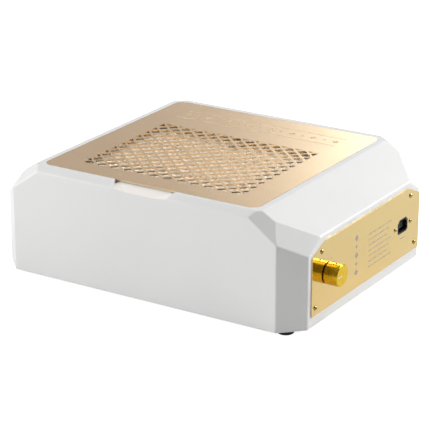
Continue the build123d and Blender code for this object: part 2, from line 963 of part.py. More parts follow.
def rotor_can():
    """The external rotor's steel cup, open below, with a flange for the impeller."""
    skin = 3.0
    top = 68.0
    hub = 9.0
    can = spin(
        [
            (shaft_radius + 0.02, 60.0),
            (hub, 60.0),
            (hub, top - skin),
            (rotor_radius - skin, top - skin),
            (rotor_radius - skin, 26.0),
            (rotor_radius, 26.0),
            (rotor_radius, hub_z - 2),
            (54.0, hub_z - 2),
            (54.0, hub_z),
            (rotor_radius, hub_z),
            (rotor_radius, top - 3),
            (rotor_radius - 3, top),
            (shaft_radius + 0.02, top),
        ],
        0,
        fan_y,
    )
    for x, y in impeller_screw_places():
        can -= rod_z(x, y, hub_z - 3, hub_z + 1, 2.0 + fit_gap)
    return can


def rotor_cage():
    return tube_z(0, fan_y, 30.0, 53.0, rotor_radius - 3 - fit_gap, 36.5)


def motor_shaft():
    return rod_z(0, fan_y, 19.0, 68.0, shaft_radius)


def shaft_clip():
    return tube_z(0, fan_y, 20.6, 21.6, 6.0, shaft_radius + 0.02)


def motor_bearings():
    return group(
        tube_z(0, fan_y, z, z + 7.0, bearing_radius, shaft_radius + running_gap)
        for z in (22.0, 51.0)
    )


def motor_base():
    """A cast flange with the tube that holds both bearings."""
    tube_top = 58.5
    bore = bearing_radius + 0.02
    base = spin(
        [
            (bore, bracket_top),
            (38.0, bracket_top),
            (38.0, bracket_top + 4),
            (16.0, bracket_top + 6),
            (14.0, bracket_top + 8),
            (14.0, tube_top),
            (bore, tube_top),
            (bore, 51.0),
            (9.0, 51.0),
            (9.0, 29.0),
            (bore, 29.0),
        ],
        0,
        fan_y,
    )
    for x, y in motor_screw_places():
        base -= rod_z(x, y, bracket_top - 1, bracket_top + 3.5, 2.0 + fit_gap)
    return base


def stator_core():
    return tube_z(0, fan_y, 31.0, 52.0, 36.0, 14.0 + 0.02)


def stator_windings():
    return group(tube_z(0, fan_y, low, low + 5.0, 33.0, 18.0) for low in (26.0, 52.0))


bush_height = 6.0
bracket_low = base_top + bush_height
bracket_top = bracket_low + 2.0


def motor_screw_places():
    return [(x, y + fan_y) for x, y in four(21.0, 21.0)]


def motor_bracket():
    bracket = rounded_slab(136, 136, 10, 0, fan_y, bracket_low, bracket_top)
    bracket -= rod_z(0, fan_y, bracket_low - 1, bracket_top + 1, 12.0)
    for x, y in motor_screw_places():
        bracket -= rod_z(x, y, bracket_low - 1, bracket_top + 1, 2.0 + fit_gap)
    for x, y in bush_places():
        bracket -= rod_z(x, y, bracket_low - 1, bracket_top + 1, 2.0 + fit_gap)
    return bracket


def motor_screws():
    return group(
        spin(
            [
                (0, bracket_low - 2.4),
                (2.6, bracket_low - 2.4),
                (3.6, bracket_low - 1.4),
                (3.6, bracket_low),
                (2.0, bracket_low),
                (2.0, bracket_top + 3.4),
                (0, bracket_top + 3.4),
            ],
            x,
            y,
        )
        for x, y in motor_screw_places()
    )


def vibration_bushes():
    return group(tube_z(x, y, base_top, bracket_low, 7.0, 2.1) for x, y in bush_places())


def bracket_screws():
    return group(
        countersunk_screw(x, y, floor_z, bracket_top + 6, 4.0, 2.0, 1) for x, y in bush_places()
    )


# ---- electronics, on the base under the panel ----
board_x0 = 118.0
board_x1 = 188.0
board_y0 = -55.0
board_y1 = 35.0
standoff_height = 8.0
board_low = base_top + standoff_height
board_high = board_low + 1.6
earth_place = (176.0, 52.0)
lug_thickness = 1.0


def board_standoffs():
    return group(
        tube_z(x, y, base_top, board_low, 3.2, 1.6) for x, y in board_corner_places()
    )


def speed_board():
    board = block(board_x0, board_x1, board_y0, board_y1, board_low, board_high)
    for x, y in board_corner_places():
        board -= rod_z(x, y, board_low - 1, board_high + 1, 1.5 + fit_gap)
    return board


def board_screws():
    return group(
        spin(
            [
                (0, floor_z - 2.0),
                (2.4, floor_z - 2.0),
                (2.9, floor_z - 1.2),
                (2.9, floor_z),
                (1.5, floor_z),
                (1.5, board_high + 3.4),
                (0, board_high + 3.4),
            ],
            x,
            y,
        )
        for x, y in board_corner_places()
    )


def board_heatsink():
    """A finned aluminium block standing on the board."""
    x0 = board_x0 + 14
    y0 = board_y0 + 12
    back = 3.0
    sink = block(x0, x0 + 42, y0, y0 + back, board_high, board_high + 30)
    for step in range(8):
        fin_x = x0 + step * 5.7
        sink += block(fin_x, fin_x + 1.8, y0 - 8, y0, board_high, board_high + 30)
    return sink


def board_triac():
    x = board_x0 + 35
    y0 = board_y0 + 15
    body = block(x - 5, x + 5, y0, y0 + 4.4, board_high + 5, board_high + 14)
    body += block(x - 5, x + 5, y0, y0 + 1.2, board_high + 14, board_high + 20)
    for step in (-1, 0, 1):
        lead = x + step * 2.54
        body += block(lead - 0.4, lead + 0.4, y0 + 1.8, y0 + 2.6, board_high, board_high + 5.1)
    return body


def board_choke():
    """A ring-core interference choke, lying flat."""
    x = board_x0 + 54
    y = board_y0 + 45
    return Pos(x, y, board_high + 5.5) * Torus(9.0, 5.4)


def board_filter_capacitor():
    body = block(
        board_x0 + 12, board_x0 + 38, board_y0 + 32, board_y0 + 44, board_high, board_high + 19
    )
    return fillet(body.edges().filter_by(Axis.Z), 1.0)


terminal_y = board_y1 - 20


def terminal_block():
    x0 = board_x0 + 12
    body = block(x0, x0 + 46, terminal_y - 5, terminal_y + 5, board_high, board_high + 11)
    for step in range(6):
        x = x0 + 4.5 + step * 7.4
        body -= rod_z(x, terminal_y, board_high + 8, board_high + 12, 2.0)
        body -= rod_y(x, terminal_y + 1, terminal_y + 6, board_high + 3.5, 2.1)
    return body


def board_fuse():
    """An enclosed fuse holder, standing on the back half of the board."""
    y = board_y0 + 52
    x0 = board_x0 + 14
    body = block(x0, x0 + 24, y - 4.5, y + 4.5, board_high, board_high + 10)
    return fillet(body.edges().filter_by(Axis.X), 1.2)


capacitor_x = 152.0
capacitor_y0 = 62.0
capacitor_y1 = 122.0
capacitor_radius = 15.0
capacitor_z = base_top + capacitor_radius + 1.5


def run_capacitor():
    can = rod_y(capacitor_x, capacitor_y0, capacitor_y1, capacitor_z, capacitor_radius)
    can = fillet(can.edges(), 1.5)
    for side in (1, -1):
        x = capacitor_x + side * 5
        can += block(
            x - 0.4, x + 0.4, capacitor_y0 - 7, capacitor_y0 + 1, capacitor_z - 3, capacitor_z + 3
        )
    return can


def capacitor_clamp():
    """A strap over the capacitor with a foot on each side."""
    inner = capacitor_radius + fit_gap
    outer = capacitor_radius + 1.5
    y0 = 86.0
    y1 = 98.0
    strap = rod_y(capacitor_x, y0, y1, capacitor_z, outer)
    legs = block(
        capacitor_x - outer, capacitor_x + outer, y0, y1, base_top, capacitor_z
    )
    feet = block(capacitor_x - outer - 9, capacitor_x + outer + 9, y0, y1, base_top, base_top + 1.5)
    clamp = strap + legs + feet
    clamp -= rod_y(capacitor_x, y0 - 1, y1 + 1, capacitor_z, inner)
    clamp -= block(
        capacitor_x - inner, capacitor_x + inner, y0 - 1, y1 + 1, base_top - 1, capacitor_z
    )
    return clamp


def earth_stud():
    x, y = earth_place
    stud = spin(
        [(0, 3.0), (3.4, 3.0), (3.4, floor_z), (2, floor_z), (2, base_top + 12), (0, base_top + 12)],
        x,
        y,
    )
    return stud


# ---- nuts, one kind to a node ----
def large_nuts():
    """M4 nuts: on the feet's screws, on the motor bracket's screws and on the earth stud."""
    seats = [(x, y, base_top) for x, y in four(foot_x, foot_y)]
    seats += [(x, y, bracket_top) for x, y in bush_places()]
    seats.append((*earth_place, base_top + lug_thickness))
    return group(hex_nut(x, y, z, 3.2, 7.0, 2.05) for x, y, z in seats)


def small_nuts():
    """M3 nuts: on the board's screws and behind the mains inlet's flange."""
    nuts = [hex_nut(x, y, board_high, 2.4, 5.5, 1.55) for x, y in board_corner_places()]
    seat = half_w - flange_thickness
    outline = RegularPolygon(5.5 / 2, 6, major_radius=False) - Circle(1.5 + fit_gap)
    for side in (1, -1):
        y = inlet_y + side * inlet_screw_pitch / 2
        placed = Plane((seat, y, inlet_z), x_dir=(0, 1, 0), z_dir=(-1, 0, 0)) * outline
        nuts.append(extrude(placed, amount=2.4))
    return group(nuts)


# ---- wiring ----
def terminal_mouth(index):
    """Where a wire meets the terminal block's back face."""
    x = board_x0 + 16.5 + index * 7.4
    return (x, terminal_y + 5.2, board_high + 3.5)


def mains_leads():
    leads = []
    pins = inlet_pin_places()
    for index, (y, z) in enumerate((pins[0], pins[2])):
        mouth = terminal_mouth(4 + index)
        start = (inlet_back - 8.3, y, z)
        points = [
            start,
            (start[0] - 8, y - 4, z - 6),
            (mouth[0] + 2, mouth[1] + 26, mouth[2] + 9),
            (mouth[0], mouth[1] + 5, mouth[2] + 0.3),
            mouth,
        ]
        leads.append(wire_run(points, 1.3))
    return group(leads)


def earth_lead():
    x, y = earth_place
    pin_y, pin_z = inlet_pin_places()[1]
    start = (inlet_back - 8.3, pin_y, pin_z)
    lug = tube_z(x, y, base_top, base_top + lug_thickness, 4.5, 2.1)
    points = [
        start,
        (start[0] - 3, start[1], start[2] - 9),
        (start[0] + 4.5, start[1] - 12, base_top + 20),
        (x + 3.0, y + 10.0, base_top + 2.2),
    ]
    tongue = block(x - 1.6, x + 4.4, y + 3.5, y + 11, base_top, base_top + lug_thickness)
    return group([wire_run(points, 1.2), lug + tongue])


def motor_cable():
    mouth = terminal_mouth(1)
    points = [
        (38.8, fan_y + 6.0, bracket_top + 2.4),
        (66.0, fan_y + 14.0, bracket_top + 4.0),
        (104.0, 30.0, bracket_top + 6.0),
        (mouth[0] - 8, mouth[1] + 22, mouth[2] + 4),
        mouth,
    ]
    return wire_run(points, 1.9)


def pot_leads():
    leads = []
    for index in range(3):
        y = knob_y + (index - 1) * 5.0
        start = (pot_back + 3.9, y, knob_z - 15.0)
        end = (board_x1 - 4.0 - 3 * index, board_y0 + 17.0, board_high + 0.9)
        points = [
            start,
            (start[0] - 3, y + 3, knob_z - 26),
            (end[0] + 6, end[1] - 10, end[2] + 10),
            end,
        ]
        leads.append(wire_run(points, 0.8))
    return group(leads)


NODES = {
    "body_shell": body_shell,
    "base_plate": base_plate,
    "base_screws": base_screws,
    "rubber_feet": rubber_feet,
    "foot_screws": foot_screws,
    "top_grille_plate": top_grille_plate,
    "plate_magnets": plate_magnets,
    "control_panel": control_panel,
    "panel_screws": panel_screws,
    "speed_knob": speed_knob,
    "knob_pointer": knob_pointer,
    "knob_grub_screw": knob_grub_screw,
    "pot_body": pot_body,
    "pot_terminals": pot_terminals,
    "pot_shaft": pot_shaft,
    "pot_washer": pot_washer,
    "pot_nut": pot_nut,
    "power_inlet": power_inlet,
    "inlet_pins": inlet_pins,
    "inlet_screws": inlet_screws,
    "filter_tray": filter_tray,
    "tray_screws": tray_screws,
    "filter_frame": filter_frame,
    "filter_media": filter_media,
    "filter_gasket": filter_gasket,
    "filter_pull_tabs": filter_pull_tabs,
    "fan_inlet_ring": fan_inlet_ring,
    "inlet_ring_screws": inlet_ring_screws,
    "fan_impeller": fan_impeller,
    "impeller_screws": impeller_screws,
    "rotor_can": rotor_can,
    "rotor_cage": rotor_cage,
    "motor_shaft": motor_shaft,
    "shaft_clip": shaft_clip,
    "motor_bearings": motor_bearings,
    "motor_base": motor_base,
    "stator_core": stator_core,
    "stator_windings": stator_windings,
    "motor_bracket": motor_bracket,
    "motor_screws": motor_screws,
    "vibration_bushes": vibration_bushes,
    "bracket_screws": bracket_screws,
    "speed_board": speed_board,
    "board_standoffs": board_standoffs,
    "board_screws": board_screws,
    "board_heatsink": board_heatsink,
    "board_triac": board_triac,
    "board_choke": board_choke,
    "board_filter_capacitor": board_filter_capacitor,
    "terminal_block": terminal_block,
    "board_fuse": board_fuse,
    "run_capacitor": run_capacitor,
    "capacitor_clamp": capacitor_clamp,
    "earth_stud": earth_stud,
    "earth_lead": earth_lead,
    "motor_cable": motor_cable,
    "mains_leads": mains_leads,
    "pot_leads": pot_leads,
    "large_nuts": large_nuts,
    "small_nuts": small_nuts,
}

os.makedirs("parts", exist_ok=True)
for name, make in NODES.items():
    solids = [Pos(centring_x, 0, 0) * solid for solid in make().solids()]
    export_step(group(solids), "parts/" + name + ".step")
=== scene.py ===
import bpy
import bmesh
import json
import math
import random
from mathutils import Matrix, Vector, noise


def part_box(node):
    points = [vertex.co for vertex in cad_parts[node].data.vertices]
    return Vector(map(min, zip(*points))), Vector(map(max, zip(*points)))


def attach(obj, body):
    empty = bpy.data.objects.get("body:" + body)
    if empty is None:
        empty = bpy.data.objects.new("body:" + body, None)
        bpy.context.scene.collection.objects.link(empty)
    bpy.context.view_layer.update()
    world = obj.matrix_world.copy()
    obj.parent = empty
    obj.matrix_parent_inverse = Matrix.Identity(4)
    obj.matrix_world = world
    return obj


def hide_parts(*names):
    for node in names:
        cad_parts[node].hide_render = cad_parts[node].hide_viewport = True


# Looks for the desktop nail dust collector. Metres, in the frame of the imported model:
# +Z up, +X towards the control panel, -Y towards the user.
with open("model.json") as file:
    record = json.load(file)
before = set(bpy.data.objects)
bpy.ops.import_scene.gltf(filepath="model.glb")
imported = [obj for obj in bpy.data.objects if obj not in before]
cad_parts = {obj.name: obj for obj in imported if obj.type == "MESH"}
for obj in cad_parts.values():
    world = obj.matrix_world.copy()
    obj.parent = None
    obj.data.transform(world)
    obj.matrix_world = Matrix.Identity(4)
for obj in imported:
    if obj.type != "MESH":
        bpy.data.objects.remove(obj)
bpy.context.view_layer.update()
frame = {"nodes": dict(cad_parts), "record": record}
MM = 0.001


# ---------------------------------------------------------------- node materials
class Shader:
    """A material's node tree, with short calls for the nodes used below."""

    def __init__(self, name, colour, roughness, metallic=0.0):
        self.material = bpy.data.materials.new(name)
        self.material.use_nodes = True
        self.nodes = self.material.node_tree.nodes
        self.links = self.material.node_tree.links
        self.surface = self.nodes["Principled BSDF"]
        self.surface.inputs["Base Color"].default_value = (*colour, 1.0)
        self.surface.inputs["Roughness"].default_value = roughness
        self.surface.inputs["Metallic"].default_value = metallic
        self.place = self.nodes.new("ShaderNodeTexCoord").outputs["Object"]

    def put(self, value, socket):
        """Links an output, or sets a plain value, on an input."""
        if isinstance(value, bpy.types.NodeSocket):
            self.links.new(value, socket)
        else:
            socket.default_value = value

    def stretched(self, scale, turn=(0, 0, 0)):
        """Object coordinates, stretched by scale and turned."""
        node = self.nodes.new("ShaderNodeMapping")
        self.links.new(self.place, node.inputs["Vector"])
        node.inputs["Scale"].default_value = scale
        node.inputs["Rotation"].default_value = turn
        return node.outputs["Vector"]

    def noise(self, scale, detail=3.0, vector=None, distortion=0.0):
        node = self.nodes.new("ShaderNodeTexNoise")
        self.links.new(self.place if vector is None else vector, node.inputs["Vector"])
        node.inputs["Scale"].default_value = scale
        node.inputs["Detail"].default_value = detail
        node.inputs["Distortion"].default_value = distortion
        return node.outputs["Fac"]

    def cells(self, scale, vector=None, feature="F1"):
        node = self.nodes.new("ShaderNodeTexVoronoi")
        node.feature = feature
        self.links.new(self.place if vector is None else vector, node.inputs["Vector"])
        node.inputs["Scale"].default_value = scale
        return node.outputs["Distance"]

    def waves(self, scale, vector=None, kind="BANDS", direction="X", distortion=0.0):
        node = self.nodes.new("ShaderNodeTexWave")
        node.wave_type = kind
        if kind == "BANDS":
            node.bands_direction = direction
        else:
            node.rings_direction = direction
        self.links.new(self.place if vector is None else vector, node.inputs["Vector"])
        node.inputs["Scale"].default_value = scale
        node.inputs["Distortion"].default_value = distortion
        return node.outputs["Fac"]

    def ranged(self, value, low, high, from_low=0.0, from_high=1.0):
        node = self.nodes.new("ShaderNodeMapRange")
        self.put(value, node.inputs["Value"])
        node.inputs["From Min"].default_value = from_low
        node.inputs["From Max"].default_value = from_high
        node.inputs["To Min"].default_value = low
        node.inputs["To Max"].default_value = high
        return node.outputs["Result"]

    def maths(self, operation, a, b=0.0):
        node = self.nodes.new("ShaderNodeMath")
        node.operation = operation
        self.put(a, node.inputs[0])
        self.put(b, node.inputs[1])
        return node.outputs[0]

    def blended(self, factor, a, b):
        """A colour between a and b."""
        node = self.nodes.new("ShaderNodeMix")
        node.data_type = "RGBA"
        self.put(factor, node.inputs["Factor"])
        for value, socket in ((a, node.inputs["A"]), (b, node.inputs["B"])):
            rgba = [s for s in node.inputs if s.type == "RGBA" and s.name == socket.name][0]
            self.put((*value, 1.0) if isinstance(value, tuple) else value, rgba)
        return [s for s in node.outputs if s.type == "RGBA"][0]

    def crevice(self, distance):
        """1 in the open and lower in corners."""
        node = self.nodes.new("ShaderNodeAmbientOcclusion")
        node.samples = 6
        node.inputs["Distance"].default_value = distance
        return node.outputs["AO"]

    def set(self, name, value):
        self.put(value, self.surface.inputs[name])

    def bump(self, *layers):
        """Stacks (height, strength, distance) bumps."""
        normal = None
        for height, strength, distance in layers:
            node = self.nodes.new("ShaderNodeBump")
            self.links.new(height, node.inputs["Height"])
            node.inputs["Strength"].default_value = strength
            node.inputs["Distance"].default_value = distance
            if normal is not None:
                self.links.new(normal, node.inputs["Normal"])
            normal = node.outputs["Normal"]
        self.links.new(normal, self.surface.inputs["Normal"])


def tint(colour, factor):
    return tuple(min(1.0, channel * factor) for channel in colour)


def moulded_plastic(name, colour, roughness, grain=1400.0, grain_depth=0.06, corner_shade=0.0):
    """Moulded plastic: fine grain, soft flow marks, uneven gloss and painted shade in corners."""
    shader = Shader(name, colour, roughness)
    flow = shader.noise(9.0, 2.0)
    patches = shader.noise(55.0, 4.0)
    mixed = shader.blended(shader.ranged(flow, 0.0, 1.0, 0.3, 0.7), tint(colour, 0.975), colour)
    # painted shade: corners and recesses, found by ambient occlusion, are painted darker
    if corner_shade > 0.0:
        corner = shader.ranged(shader.crevice(0.004), corner_shade, 0.0, 0.35, 0.95)
        mixed = shader.blended(corner, mixed, tint(colour, 0.55))
    shader.set("Base Color", mixed)
    shader.set("Roughness", shader.ranged(patches, roughness - 0.05, roughness + 0.06, 0.3, 0.7))
    grains = (shader.noise(grain, 2.0), grain_depth, 0.0002)
    sinks = (shader.noise(16.0, 1.0), 0.02, 0.004)
    shader.bump(grains, sinks)
    shader.set("Specular IOR Level", 0.3)
    return shader


def sheet_gold(name, colour, roughness, streak_scale, streak_depth):
    """Gold-coated sheet: fine drawn streaks one way, smudges, and small scratches."""
    shader = Shader(name, colour, roughness, 1.0)
    streaks = shader.noise(1.0, 5.0, shader.stretched(streak_scale))
    smudge = shader.noise(14.0, 3.0, distortion=0.8)
    scratch_lines = shader.cells(1.0, shader.stretched((30.0, 420.0, 420.0), (0, 0, 0.6)))
    scratch = shader.ranged(scratch_lines, 0.05, 0.0, 0.0, 0.05)
    base = shader.blended(shader.ranged(streaks, 0.0, 1.0, 0.25, 0.75), tint(colour, 0.97), colour)
    base = shader.blended(shader.ranged(smudge, 0.0, 0.1, 0.45, 0.75), base, tint(colour, 0.82))
    shader.set("Base Color", base)
    uneven = shader.maths("ADD", shader.ranged(streaks, -0.02, 0.03, 0.25, 0.75), roughness)
    uneven = shader.maths("ADD", uneven, shader.ranged(smudge, 0.0, 0.05, 0.4, 0.8))
    shader.set("Roughness", shader.maths("ADD", uneven, scratch))
    shader.bump((streaks, streak_depth, 0.0001))
    return shader


def turned_metal(name, colour, roughness, ring_scale, depth, centre=(0, 0, 0), side_shade=None):
    """Turned or drawn metal with fine rings and rubbed patches.

    side_shade is a painted shade: the colour of whatever doesn't face +X, so a knob's side is painted
    darker than its cap.
    """
    shader = Shader(name, colour, roughness, 1.0)
    node = shader.nodes.new("ShaderNodeMapping")
    shader.links.new(shader.place, node.inputs["Vector"])
    node.inputs["Location"].default_value = centre
    rings = shader.waves(ring_scale, node.outputs["Vector"], "RINGS", "X", 1.5)
    rubbed = shader.noise(160.0, 3.0)
    base = shader.blended(shader.ranged(rubbed, 0.0, 1.0, 0.35, 0.7), tint(colour, 0.92), colour)
    # painted shade: faces turned away from +X, round the knob's side, take the darker colour
    if side_shade is not None:
        normal = shader.nodes.new("ShaderNodeNewGeometry").outputs["Normal"]
        split = shader.nodes.new("ShaderNodeSeparateXYZ")
        shader.links.new(normal, split.inputs[0])
        base = shader.blended(shader.ranged(split.outputs["X"], 0.0, 1.0, 0.5, 0.9), side_shade, base)
    shader.set("Base Color", base)
    shader.set("Roughness", shader.ranged(rubbed, roughness - 0.04, roughness + 0.08, 0.3, 0.7))
    shader.bump((rings, depth, 0.00005))
    return shader


def plated_steel(name, colour, roughness, spangle=0.0):
    """Plated or galvanised steel: cloudy patches, with spangle on sheet."""
    shader = Shader(name, colour, roughness, 1.0)
    cloudy = shader.noise(220.0, 4.0)
    crystals = shader.cells(260.0)
    mixed = shader.blended(shader.ranged(cloudy, 0.0, 1.0, 0.3, 0.7), tint(colour, 0.8), colour)
    if spangle > 0.0:
        mixed = shader.blended(shader.ranged(crystals, 0.0, spangle, 0.2, 0.8), mixed, tint(colour, 1.2))
    shader.set("Base Color", mixed)
    shader.set("Roughness", shader.ranged(crystals, roughness - 0.07, roughness + 0.1, 0.1, 0.8))
    shader.bump((cloudy, 0.05, 0.0001))
    return shader


def soft_rubber(name, colour, roughness=0.75):
    """Moulded rubber with a dry bloom and a fine stipple."""
    shader = Shader(name, colour, roughness)
    bloom = shader.noise(70.0, 5.0)
    dusty = tuple(channel + 0.05 for channel in colour)
    bloomed = shader.ranged(bloom, 0.0, 0.7, 0.45, 0.75)
    shader.set("Base Color", shader.blended(bloomed, colour, dusty))
    shader.set("Roughness", shader.ranged(bloom, roughness - 0.1, roughness + 0.1, 0.3, 0.7))
    shader.bump((shader.cells(1500.0), 0.25, 0.0002))
    return shader


def cast_metal(name, colour, roughness=0.5):
    """Die-cast metal with a sandy skin."""
    shader = Shader(name, colour, roughness, 1.0)
    sand = shader.noise(900.0, 4.0)
    cloudy = shader.noise(60.0, 3.0)
    shader.set("Base Color", shader.blended(cloudy, tint(colour, 0.75), colour))
    shader.set("Roughness", shader.ranged(sand, roughness - 0.1, roughness + 0.15, 0.3, 0.7))
    shader.bump((sand, 0.35, 0.0003))
    return shader


def laminated(name, colour):
    """A stack of thin sheets seen from the side."""
    shader = Shader(name, colour, 0.5, 1.0)
    sheets = shader.waves(320.0, direction="Z")
    shader.set("Base Color", shader.blended(sheets, tint(colour, 0.55), colour))
    shader.set("Roughness", shader.ranged(shader.noise(200.0), 0.4, 0.6))
    shader.bump((sheets, 0.4, 0.0002))
    return shader


def wound_wire(name, colour):
    """Varnished wire, wound round an upright axis."""
    shader = Shader(name, colour, 0.3, 0.9)
    turns = shader.waves(260.0, direction="Z", distortion=0.6)
    shader.set("Base Color", shader.blended(turns, tint(colour, 0.45), colour))
    shader.set("Roughness", shader.ranged(shader.noise(300.0), 0.22, 0.42))
    shader.bump((turns, 0.8, 0.0004))
    return shader


def circuit_board(name, colour):
    """Solder mask over faint copper areas."""
    shader = Shader(name, colour, 0.35)
    areas = shader.cells(110.0)
    tracks = shader.waves(60.0, direction="DIAGONAL", distortion=2.0)
    patterned = shader.maths("MULTIPLY", shader.ranged(areas, 0.0, 1.0, 0.3, 0.5), tracks)
    shader.set("Base Color", shader.blended(patterned, colour, tint(colour, 1.8)))
    shader.set("Roughness", shader.ranged(shader.noise(400.0), 0.28, 0.45))
    shader.bump((patterned, 0.15, 0.0001))
    return shader


def insulated_wire(name, colour, roughness=0.45):
    """Extruded insulation with slight flow lines and scuffs."""
    shader = Shader(name, colour, roughness)
    scuffs = shader.noise(240.0, 4.0)
    scuffed = shader.ranged(scuffs, 0.0, 0.6, 0.4, 0.75)
    shader.set("Base Color", shader.blended(scuffed, colour, tint(colour, 0.7)))
    shader.set("Roughness", shader.ranged(scuffs, roughness - 0.08, roughness + 0.15, 0.3, 0.7))
    shader.bump((shader.noise(900.0, 2.0), 0.1, 0.0002))
    return shader


def filter_paper(name, colour):
    """Pleated glass-fibre paper: matted fibres, slight mottling, light passing through."""
    shader = Shader(name, colour, 0.9)
    fibres = shader.noise(1.0, 6.0, shader.stretched((2600.0, 700.0, 2600.0), (0, 0, 0.5)), 1.5)
    mottled = shader.noise(70.0, 4.0)
    spotted = shader.ranged(mottled, 0.0, 1.0, 0.35, 0.7)
    shader.set("Base Color", shader.blended(spotted, tint(colour, 0.93), colour))
    shader.set("Roughness", shader.ranged(fibres, 0.8, 1.0))
    shader.set("Subsurface Weight", 0.15)
    shader.set("Subsurface Radius", (0.0015, 0.0013, 0.0011))
    shader.bump((fibres, 0.5, 0.0003), (mottled, 0.15, 0.001))
    return shader


def open_foam(name, colour):
    """Foam strip with open pores."""
    shader = Shader(name, colour, 0.95)
    pores = shader.cells(900.0)
    # painted shade: each pore's middle is painted darker, for the shade in its hollow
    depth = shader.ranged(pores, 1.0, 0.0, 0.0, 0.5)
    shader.set("Base Color", shader.blended(depth, colour, tint(colour, 0.35)))
    shader.set("Roughness", shader.ranged(shader.noise(120.0), 0.85, 1.0))
    shader.bump((pores, 0.9, 0.0008))
    return shader


def woven_ribbon(name, colour):
    """Woven tape: warp and weft threads crossing."""
    shader = Shader(name, colour, 0.7)
    warp = shader.waves(420.0, direction="X")
    weft = shader.waves(300.0, direction="Y")
    weave = shader.maths("MULTIPLY", warp, weft)
    shader.set("Base Color", shader.blended(weave, tint(colour, 0.7), colour))
    shader.set("Roughness", shader.ranged(shader.noise(200.0), 0.6, 0.85))
    shader.set("Sheen Weight", 0.3)
    shader.bump((weave, 0.7, 0.0004))
    return shader


def etched_mark(name, colour, roughness):
    """A frosted mark on polished metal."""
    shader = Shader(name, colour, roughness, 0.6)
    frost = shader.noise(2200.0, 3.0)
    shader.set("Base Color", shader.blended(frost, tint(colour, 0.85), colour))
    shader.set("Roughness", shader.ranged(frost, roughness - 0.08, roughness + 0.1))
    shader.bump((frost, 0.2, 0.0001))
    return shader


white_housing = moulded_plastic("white_housing", (0.84, 0.84, 0.835), 0.36, 1500.0, 0.05, 0.35)
satin_gold = sheet_gold("satin_gold", (0.88, 0.65, 0.39), 0.2, (60.0, 5200.0, 60.0), 0.002)
mirror_gold = sheet_gold("mirror_gold", (0.91, 0.69, 0.31), 0.06, (60.0, 60.0, 900.0), 0.008)
screw_gold = turned_metal("screw_gold", (0.44, 0.32, 0.12), 0.12, 900.0, 0.1)
zinc = plated_steel("zinc_steel", (0.62, 0.62, 0.61), 0.3)
sheet_zinc = plated_steel("zinc_sheet", (0.58, 0.59, 0.6), 0.38, 0.5)
bright_nickel = plated_steel("nickel", (0.78, 0.77, 0.74), 0.14)
grey_tray = moulded_plastic("grey_tray", (0.27, 0.28, 0.29), 0.5, 900.0, 0.15, 0.5)
black_plastic = moulded_plastic("black_plastic", (0.012, 0.012, 0.013), 0.3, 1100.0, 0.08)
laminations = laminated("laminations", (0.4, 0.4, 0.41))
cast_alloy = cast_metal("cast_alloy", (0.62, 0.62, 0.62))

knob_low, knob_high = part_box("speed_knob")
knob_middle = (knob_low + knob_high) / 2
knob_gold = turned_metal(
    "knob_gold",
    (0.95, 0.64, 0.03),
    roughness=0.24,
    ring_scale=700.0,
    depth=0.03,
    centre=(0, -knob_middle.y, -knob_middle.z),
    # painted shade for the knob's side, darker than its cap
    side_shade=(0.67, 0.415, 0.02),
)

SLOT_MATERIALS = {
    "housing_white": white_housing,
    "grey_plastic_plate": moulded_plastic("base_coat", (0.5, 0.51, 0.52), 0.6, 700.0, 0.4, 0.3),
    "zinc_steel": zinc,
    "black_rubber": soft_rubber("black_rubber", (0.018, 0.018, 0.018)),
    "gold_mirror": mirror_gold,
    "gold_screw": screw_gold,
    "nickel_pins": bright_nickel,
    "gold_anodised": knob_gold,
    "pointer_white": moulded_plastic("pointer_white", (0.88, 0.87, 0.84), 0.4),
    "pot_metal": plated_steel("pot_metal", (0.6, 0.6, 0.59), 0.35),
    "black_plastic": black_plastic,
    "grey_plastic": grey_tray,
    "filter_frame_white": moulded_plastic(
        "filter_frame_white", (0.82, 0.81, 0.78), 0.55, 800.0, 0.12, 0.3
    ),
    # the paper's warm tint is painted light: the gold-tinted light that falls on it through the lattice
    "filter_paper": filter_paper("filter_paper", (0.9, 0.84, 0.74)),
    "foam_grey": open_foam("foam_grey", (0.13, 0.13, 0.135)),
    "pull_ribbon": woven_ribbon("pull_ribbon", (0.8, 0.78, 0.74)),
    "zinc_sheet": sheet_zinc,
    "impeller_plastic": moulded_plastic("impeller_plastic", (0.05, 0.05, 0.055), 0.5, 900.0, 0.15),
    "black_steel": cast_metal("black_steel", (0.05, 0.05, 0.055), 0.45),
    "laminated_steel": laminations,
    "bearing_steel": turned_metal("bearing_steel", (0.66, 0.66, 0.66), 0.15, 600.0, 0.05),
    "cast_aluminium": cast_alloy,
    "copper_wire": wound_wire("copper_wire", (0.62, 0.26, 0.12)),
    "circuit_board": circuit_board("circuit_board", (0.03, 0.16, 0.08)),
    "standoff_nylon": moulded_plastic("nylon", (0.8, 0.79, 0.74), 0.45),
    "choke_green": wound_wire("choke_wire", (0.55, 0.24, 0.1)),
    "capacitor_yellow": moulded_plastic("capacitor_yellow", (0.75, 0.52, 0.06), 0.3),
    "terminal_green": moulded_plastic("terminal_green", (0.05, 0.3, 0.12), 0.45),
    "cable_white": insulated_wire("sleeve_white", (0.78, 0.78, 0.76), 0.4),
    "earth_lead_green": insulated_wire("earth_green", (0.16, 0.4, 0.06)),
    "cable_grey": insulated_wire("cable_grey", (0.2, 0.2, 0.21), 0.55),
    "brown_lead": insulated_wire("brown_lead", (0.16, 0.07, 0.03)),
    "lead_red": insulated_wire("lead_red", (0.45, 0.04, 0.03)),
}


def dress_cad_nodes():
    """Gives every carried-over node the material of its slot, but the top plate its own satin gold."""
    slots = {entry["node"]: entry["material_slot"] for entry in frame["record"]["subparts"]}
    own = {"top_grille_plate": satin_gold}
    for name, piece in frame["nodes"].items():
        shader = own.get(name, SLOT_MATERIALS[slots[name]])
        piece.data.materials.clear()
        piece.data.materials.append(shader.material)


